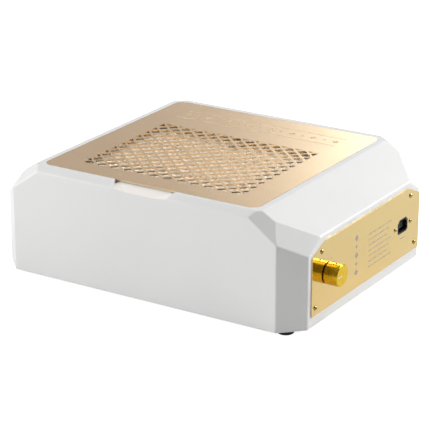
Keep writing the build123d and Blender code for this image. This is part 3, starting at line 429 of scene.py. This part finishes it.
# ---------------------------------------------------------------- mesh helpers
def new_piece(name, mesh, shader, body, smooth=True):
    """Puts a finished bmesh into the scene, on a body."""
    data = bpy.data.meshes.new(name)
    bmesh.ops.recalc_face_normals(mesh, faces=mesh.faces)
    mesh.to_mesh(data)
    mesh.free()
    for polygon in data.polygons:
        polygon.use_smooth = smooth
    data.materials.append(shader.material)
    piece = bpy.data.objects.new(name, data)
    bpy.context.scene.collection.objects.link(piece)
    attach(piece, body)
    return piece


def add_prism(mesh, outline, place, height):
    """A thin slab: outline is a list of (a, b), and place(a, b, h) gives a point in space."""
    low = [mesh.verts.new(place(a, b, 0.0)) for a, b in outline]
    high = [mesh.verts.new(place(a, b, height)) for a, b in outline]
    count = len(outline)
    mesh.faces.new(high)
    mesh.faces.new(list(reversed(low)))
    for i in range(count):
        j = (i + 1) % count
        mesh.faces.new((low[i], low[j], high[j], high[i]))


def add_bar(mesh, start, end, low, high, place, height):
    """A thin bar, from start to end along a and from low to high along b."""
    add_prism(mesh, [(start, low), (end, low), (end, high), (start, high)], place, height)


def join_rings(mesh, rings):
    """Closes a run of rings with equal counts of points into a solid with two flat ends."""
    count = len(rings[0])
    for first, second in zip(rings, rings[1:]):
        for k in range(count):
            n = (k + 1) % count
            mesh.faces.new((first[k], first[n], second[n], second[k]))
    mesh.faces.new(rings[0])
    mesh.faces.new(list(reversed(rings[-1])))


def join_rows(mesh, rows):
    """Joins rows with equal counts of points into one sheet."""
    for first, second in zip(rows, rows[1:]):
        for i in range(len(first) - 1):
            mesh.faces.new((first[i], first[i + 1], second[i + 1], second[i]))


def thicken(piece, thickness):
    """Gives a sheet its thickness, half to each side."""
    skin = piece.modifiers.new("thickness", "SOLIDIFY")
    skin.thickness = thickness
    skin.offset = 0.0


def regular(count, radius, centre_a, centre_b):
    """A regular polygon's corners, the first of them along +a."""
    points = []
    for i in range(count):
        angle = 2 * math.pi * i / count
        points.append((centre_a + radius * math.cos(angle), centre_b + radius * math.sin(angle)))
    return points


# ---------------------------------------------------------------- filter
def build_filter_media():
    """Soft-tipped pleats that wander a little, held apart by lines of glue."""
    low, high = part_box("filter_media")
    inset = 0.8 * MM
    pitch = 6.8 * MM
    paper_thickness = 0.5 * MM
    most_wander = 0.5 * MM
    most_sag = 0.6 * MM
    # a pleat's profile is a blend of a straight fold and a rounded wave
    straight_share = 0.72
    rounded_share = 0.28
    steps_per_fold = 14
    steps_along = 60
    folds = int((high.x - low.x) / pitch)
    start = (low.x + high.x) / 2 - folds * pitch / 2
    base = low.z + 0.9 * MM
    rise = high.z - low.z - 2.0 * MM
    mesh = bmesh.new()
    rows = []
    for j in range(steps_along + 1):
        y = low.y + inset + (high.y - low.y - 2 * inset) * j / steps_along
        row = []
        for i in range(folds * steps_per_fold + 1):
            phase = i / steps_per_fold
            fold = abs((phase % 1.0) * 2 - 1)
            rounded = 0.5 - 0.5 * math.cos(math.pi * fold)
            profile = straight_share * fold + rounded_share * rounded
            wander = noise.noise(Vector((phase * 0.55, y * 9.0, 3.1))) * most_wander
            sag = noise.noise(Vector((phase * 0.9, y * 22.0, 7.7))) * most_sag
            x = start + phase * pitch + wander * (1 - abs(2 * fold - 1) * 0.5)
            x = min(max(x, low.x + inset), high.x - inset)
            row.append(mesh.verts.new((x, y, base + rise * profile + sag * fold)))
        rows.append(row)
    join_rows(mesh, rows)
    paper = SLOT_MATERIALS["filter_paper"]
    piece = new_piece("pleated_media", mesh, paper, "filter")
    thicken(piece, paper_thickness)
    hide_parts("filter_media")
    build_glue_lines(low, high, start, pitch, folds, base + rise)


def build_glue_lines(low, high, start, pitch, folds, crest):
    """Beads of glue across the pleat crests, each bead dipping between two folds."""
    bead_radius = 0.65 * MM
    sunk = 0.4 * MM
    dip_depth = 1.1 * MM
    lines = 5
    sides = 8
    steps = folds * 6
    mesh = bmesh.new()
    for line in range(lines):
        y = low.y + (high.y - low.y) * (line + 0.5) / lines
        rings = []
        for i in range(steps + 1):
            x = start + pitch * folds * i / steps
            crested = 0.5 + 0.5 * math.cos(2 * math.pi * (x - start) / pitch)
            z = crest - sunk - dip_depth * (1 - crested)
            radius = bead_radius * (0.8 + 0.35 * crested)
            ring = []
            for k in range(sides):
                angle = 2 * math.pi * k / sides
                point = (x, y + radius * math.cos(angle), z + radius * math.sin(angle))
                ring.append(mesh.verts.new(point))
            rings.append(ring)
        join_rings(mesh, rings)
    glue = moulded_plastic("filter_glue", (0.86, 0.85, 0.8), 0.35, 600.0, 0.1)
    new_piece("filter_glue_lines", mesh, glue, "filter")


def crowned_section(arc_steps):
    """The gasket's upper outline: (share of its width, lift from 0 to 1)."""
    section = []
    for i in range(arc_steps + 1):
        angle = math.pi * i / arc_steps
        section.append((0.5 - 0.5 * math.cos(angle), math.sin(angle) ** 0.5))
    return section


def build_gasket():
    """A foam strip round the filter's rim, with a crowned section and butted corners."""
    low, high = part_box("filter_gasket")
    middle = (low + high) / 2
    width = 7.0 * MM
    inset = 0.3 * MM
    butt_gap = 0.15 * MM
    lifted = 0.02 * MM  # between the foam and the rim that it is stuck to
    steps = 90
    half_x = (high.x - low.x) / 2 - inset
    half_y = (high.y - low.y) / 2 - inset
    thickness = (high.z - low.z) * 0.97
    # the section's height at its edges, and how much its middle adds, as shares of thickness
    edge_share = 0.35
    crown_share = 0.62
    inner_y = half_y - width - butt_gap
    runs = (
        # first corner, direction along, direction across, length
        ((-half_x, -half_y), (1, 0), (0, 1), 2 * half_x),
        ((-half_x, half_y), (1, 0), (0, -1), 2 * half_x),
        ((-half_x, -inner_y), (0, 1), (1, 0), 2 * inner_y),
        ((half_x, -inner_y), (0, 1), (-1, 0), 2 * inner_y),
    )
    mesh = bmesh.new()
    for corner, along, across, length in runs:
        rings = []
        for i in range(steps + 1):
            s = length * i / steps
            ring = []
            for share, lift in crowned_section(8):
                x = middle.x + corner[0] + along[0] * s + across[0] * share * width
                y = middle.y + corner[1] + along[1] * s + across[1] * share * width
                ragged = 1 + 0.04 * noise.noise(Vector((x * 160, y * 160, share * 3)))
                height = thickness * (edge_share + crown_share * lift * ragged)
                ring.append(mesh.verts.new((x, y, low.z + min(height, thickness))))
            for share in (1.0, 0.0):
                x = middle.x + corner[0] + along[0] * s + across[0] * share * width
                y = middle.y + corner[1] + along[1] * s + across[1] * share * width
                ring.append(mesh.verts.new((x, y, low.z + lifted)))
            rings.append(ring)
        join_rings(mesh, rings)
    piece = new_piece("foam_gasket", mesh, SLOT_MATERIALS["foam_grey"], "filter")
    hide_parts("filter_gasket")


def build_pull_tabs():
    """Two folded ribbon loops lying on the pleats."""
    low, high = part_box("filter_pull_tabs")
    width = high.x - low.x
    ribbon_thickness = 0.35 * MM
    loop_reach = 26.0 * MM
    lower_layer = 0.35 * MM
    upper_layer = 1.9 * MM
    wall_gap = 0.3 * MM
    most_ripple = 0.12 * MM
    # where along the ribbon, from 0 to 1, the fold starts to climb, and over what length
    climb_start = 0.42
    climb_length = 0.16
    steps_across = 12
    steps_along = 40
    mesh = bmesh.new()
    for side in (1, -1):
        wall_y = high.y if side > 0 else low.y
        rows = []
        for i in range(steps_along + 1):
            t = i / steps_along
            # out along the lower layer, round the loop's end and back on top
            reach = loop_reach * (1 - abs(2 * t - 1))
            bulge = 0.55 + 0.45 * math.sin(math.pi * t)
            climb = max(0.0, min(1.0, (t - climb_start) / climb_length))
            layer = lower_layer + upper_layer * climb * bulge
            row = []
            for k in range(steps_across + 1):
                x = low.x + width * k / steps_across
                y = wall_y - side * (wall_gap + reach)
                ripple = most_ripple * math.sin(k * 1.3 + i * 0.4)
                row.append(mesh.verts.new((x, y, low.z + layer + ripple)))
            rows.append(row)
        join_rows(mesh, rows)
    ribbon = SLOT_MATERIALS["pull_ribbon"]
    piece = new_piece("ribbon_pull_tabs", mesh, ribbon, "filter")
    thicken(piece, ribbon_thickness)
    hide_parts("filter_pull_tabs")


# ---------------------------------------------------------------- marks on the gold sheets
# A mark is a thin slab, sunk a little into its sheet.
MARK_SUNK = 0.01 * MM
MARK_HEIGHT = 0.04 * MM
PRINT_HEIGHT = 1.3 * MM


def build_plate_ornament():
    """A plain frieze behind the lattice: two thin lines and a row of small diamonds."""
    low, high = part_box("top_grille_plate")
    middle_x = (low.x + high.x) / 2
    frieze_y = high.y - 44.0 * MM
    top = high.z - MARK_SUNK
    half_length = 118.0
    line_offset = 15.0
    half_line = 0.7
    diamonds = 15
    large_radius = 5.2
    small_radius = 2.6

    def place(a, b, h):
        """A point from millimetres along and across the frieze, and metres up."""
        return (middle_x + a * MM, frieze_y + b * MM, top + h)

    mesh = bmesh.new()
    for b in (-line_offset, line_offset):
        add_bar(mesh, -half_length, half_length, b - half_line, b + half_line, place, MARK_HEIGHT)
    step = 2 * half_length / diamonds
    for i in range(diamonds):
        centre = (i - (diamonds - 1) / 2) * step
        radius = large_radius if i % 2 == 0 else small_radius
        add_prism(mesh, regular(4, radius, centre, 0.0), place, MARK_HEIGHT)
    frosted = etched_mark("frosted_gold", (0.8, 0.62, 0.36), 0.42)
    new_piece("plate_frieze", mesh, frosted, "top_plate", smooth=False)


def add_dial(mesh, place):
    """Dots round the knob, growing clockwise from low speed to high."""
    dots = 11
    dial_radius = 17.5 * MM
    first_angle = math.radians(-120)
    sweep = math.radians(300)
    for i in range(dots):
        angle = first_angle - sweep * i / (dots - 1)
        dot_radius = (0.45 + 0.06 * i) * MM
        y = knob_middle.y + dial_radius * math.cos(angle)
        z = knob_middle.z + dial_radius * math.sin(angle)
        add_prism(mesh, regular(16, dot_radius, y, z), place, MARK_HEIGHT)


def add_print_bars(mesh, place, panel_top):
    """Rows of short bars, as plain stand-ins for small print."""
    rows = 7
    first_row = 28.0
    row_pitch = 7.0
    row_start = 4.0 * MM
    word_gap = 1.6 * MM
    shortest_bar = 0.1 * MM
    word_lengths = (3.0, 5.0, 8.0, 11.0)
    pick = random.Random(5)
    for row in range(rows):
        z = panel_top - (first_row + row_pitch * row) * MM
        row_end = (62.0 - 5.0 * (row % 3)) * MM
        y = row_start
        while y < row_end:
            end = min(y + pick.choice(word_lengths) * MM, row_end)
            # the rest of a row can be too short for a bar
            if end - y > shortest_bar:
                add_bar(mesh, y, end, z, z + PRINT_HEIGHT, place, MARK_HEIGHT)
            y = end + word_gap


def add_diamond_column(mesh, place, panel_bottom):
    """A plain column of diamonds, large and small in turn."""
    column_y = -27.0 * MM
    for i in range(5):
        z = panel_bottom + (20.0 + 11.0 * i) * MM
        radius = (4.4 if i % 2 == 0 else 2.6) * MM
        add_prism(mesh, regular(4, radius, column_y, z), place, MARK_HEIGHT)


def add_inlet_bar(mesh, place):
    """A small bar under the mains inlet."""
    low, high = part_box("power_inlet")
    half_length = 6 * MM
    y = (low.y + high.y) / 2
    z = low.z - 5.0 * MM
    add_bar(mesh, y - half_length, y + half_length, z, z + PRINT_HEIGHT, place, MARK_HEIGHT)


def build_panel_marks():
    """Dial dots round the knob, and plain bars and diamonds where a maker would print."""
    low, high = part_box("control_panel")
    face = high.x - MARK_SUNK

    def place(a, b, h):
        """A point from y, z and the height above the panel."""
        return (face + h, a, b)

    mesh = bmesh.new()
    add_dial(mesh, place)
    add_print_bars(mesh, place, high.z)
    add_diamond_column(mesh, place, low.z)
    add_inlet_bar(mesh, place)
    etched = etched_mark("etched_grey", (0.5, 0.42, 0.38), 0.45)
    new_piece("panel_marks", mesh, etched, "housing", smooth=False)


# ---------------------------------------------------------------- stage
def build_floor():
    """A pale floor with a barely uneven surface."""
    half = 6.0
    mesh = bmesh.new()
    corners = ((-half, -half), (half, -half), (half, half), (-half, half))
    mesh.faces.new([mesh.verts.new((x, y, 0.0)) for x, y in corners])
    data = bpy.data.meshes.new("floor")
    mesh.to_mesh(data)
    mesh.free()
    shader = Shader("floor_paper", (0.8, 0.8, 0.8), 0.9)
    shader.set("Roughness", shader.ranged(shader.noise(3.0), 0.85, 0.95))
    # the camera sees the sheet as overexposed backdrop paper
    path = shader.nodes.new("ShaderNodeLightPath")
    shader.set("Emission Color", (1.0, 1.0, 1.0, 1.0))
    shader.set("Emission Strength", shader.ranged(path.outputs["Is Camera Ray"], 0.0, 0.9))
    data.materials.append(shader.material)
    floor = bpy.data.objects.new("floor", data)
    bpy.context.scene.collection.objects.link(floor)


def build_world():
    """A white backdrop for the camera, and a dimmer even fill for everything else."""
    fill_light = 0.2
    world = bpy.data.worlds.new("studio")
    world.use_nodes = True
    bpy.context.scene.world = world
    nodes = world.node_tree.nodes
    links = world.node_tree.links
    background = nodes["Background"]
    background.inputs["Color"].default_value = (1.0, 1.0, 1.0, 1.0)
    path = nodes.new("ShaderNodeLightPath")
    level = nodes.new("ShaderNodeMapRange")
    level.inputs["To Min"].default_value = fill_light
    level.inputs["To Max"].default_value = 1.0
    links.new(path.outputs["Is Camera Ray"], level.inputs["Value"])
    links.new(level.outputs["Result"], background.inputs["Strength"])


# ---------------------------------------------------------------- light
WHITE = (1.0, 1.0, 1.0)


def soft_light(name, place, aim, size, power, colour=WHITE, only=(), spread=180):
    """A rectangular softbox, hidden from the camera; only lists the nodes it lights."""
    light = bpy.data.lights.new(name, "AREA")
    light.shape = "RECTANGLE"
    light.size, light.size_y = size
    light.energy = power
    light.color = colour
    light.spread = math.radians(spread)
    lamp = bpy.data.objects.new(name, light)
    lamp.location = place
    lamp.rotation_euler = (Vector(aim) - Vector(place)).to_track_quat("-Z", "Y").to_euler()
    lamp.visible_camera = False
    bpy.context.scene.collection.objects.link(lamp)
    if only:
        lit = bpy.data.collections.new(name + "_lights")
        for node in only:
            lit.objects.link(bpy.data.objects[node])
        lamp.light_linking.receiver_collection = lit


def build_softboxes():
    """Three softboxes for the whole object: at the front left, rear right and above."""
    soft_light("left_box", (-2.3, -1.9, 0.9), (0, 0, 0.08), size=(1.6, 1.2), power=66.0)
    soft_light("right_box", (2.0, 2.3, 1.5), (0.1, 0, 0.08), size=(1.6, 1.2), power=80.0)
    soft_light("top_box", (0.5, 0.6, 2.6), (0, 0, 0), size=(2.0, 2.0), power=30.0)


def build_filter_lamp():
    """Stands in for the light that the gold lattice throws down on the filter."""
    soft_light(
        "filter_lamp",
        place=(0.3, -0.5, 1.1),
        aim=(0, 0, 0.1),
        size=(0.3, 0.3),
        power=14.0,
        colour=(1.0, 0.93, 0.82),
        only=("pleated_media", "filter_glue_lines", "filter_frame"),
    )


# What the gold plate mirrors, so that it brightens towards its rear right: upright cards
# as (degrees left of +Y, degrees wide, brightness, tint).
PLATE_CARDS = (
    (48.5, 23.0, 0.4, (0.93, 0.89, 0.92)),
    (35.5, 3.0, 0.41, (0.93, 0.89, 0.92)),
    (33.0, 2.0, 0.49, (0.93, 0.9, 0.94)),
    (31.0, 2.0, 0.58, (0.94, 0.91, 0.94)),
    (29.0, 2.0, 0.82, (0.95, 0.95, 0.96)),
    (27.5, 1.0, 1.25, (0.95, 0.97, 1.0)),
    (26.0, 2.0, 1.7, (0.95, 0.97, 1.0)),
    (24.0, 2.0, 2.2, (0.95, 0.97, 1.0)),
    (22.0, 2.0, 2.4, (0.95, 0.97, 1.0)),
)


def build_plate_cards():
    """Stands the cards on a circle round the object; they light nothing but the plate."""
    reach = 6.0
    height = 2.2
    middle_z = 2.15
    plate_z = 0.147
    for index, (left, wide, brightness, colour) in enumerate(PLATE_CARDS):
        angle = math.radians(left)
        width = 2 * reach * math.tan(math.radians(wide / 2))
        soft_light(
            "plate_card_%d" % index,
            place=(-reach * math.sin(angle), reach * math.cos(angle), middle_z),
            aim=(0, 0, plate_z),
            size=(width, height),
            power=brightness * math.pi * width * height,
            colour=colour,
            only=("top_grille_plate", "plate_frieze"),
        )


def build_scoop_lamp():
    """Stands in for the light that the plate's gold edge throws on the finger scoop."""
    soft_light(
        "scoop_lamp",
        place=(-0.01035, -0.1615, 0.4),
        aim=(-0.01035, -0.161, 0.14),
        size=(0.08, 0.011),
        power=0.00077,
        colour=(1.0, 0.77, 0.55),
        only=("body_shell",),
        spread=4,
    )


# ---------------------------------------------------------------- camera
def build_camera():
    """A long lens, held level, from 32 degrees round the right and 20 degrees up."""
    round_angle = math.radians(32.14)
    up_angle = math.radians(20.27)
    distance = 2.42
    target = Vector((0.01055, -0.0327, 0.0758))
    back = Vector(
        (
            math.sin(round_angle) * math.cos(up_angle),
            -math.cos(round_angle) * math.cos(up_angle),
            math.sin(up_angle),
        )
    )
    data = bpy.data.cameras.new("camera")
    data.sensor_width = 36.0
    data.lens = 163.8
    data.clip_end = 50.0
    camera = bpy.data.objects.new("camera", data)
    camera.location = target + back * distance
    camera.rotation_euler = (-back).to_track_quat("-Z", "Y").to_euler()
    bpy.context.scene.collection.objects.link(camera)
    bpy.context.scene.camera = camera


dress_cad_nodes()
build_filter_media()
build_gasket()
build_pull_tabs()
build_plate_ornament()
build_panel_marks()
build_floor()
build_world()
build_softboxes()
build_filter_lamp()
build_plate_cards()
build_scoop_lamp()
build_camera()
bpy.context.scene.view_settings.view_transform = "Standard"
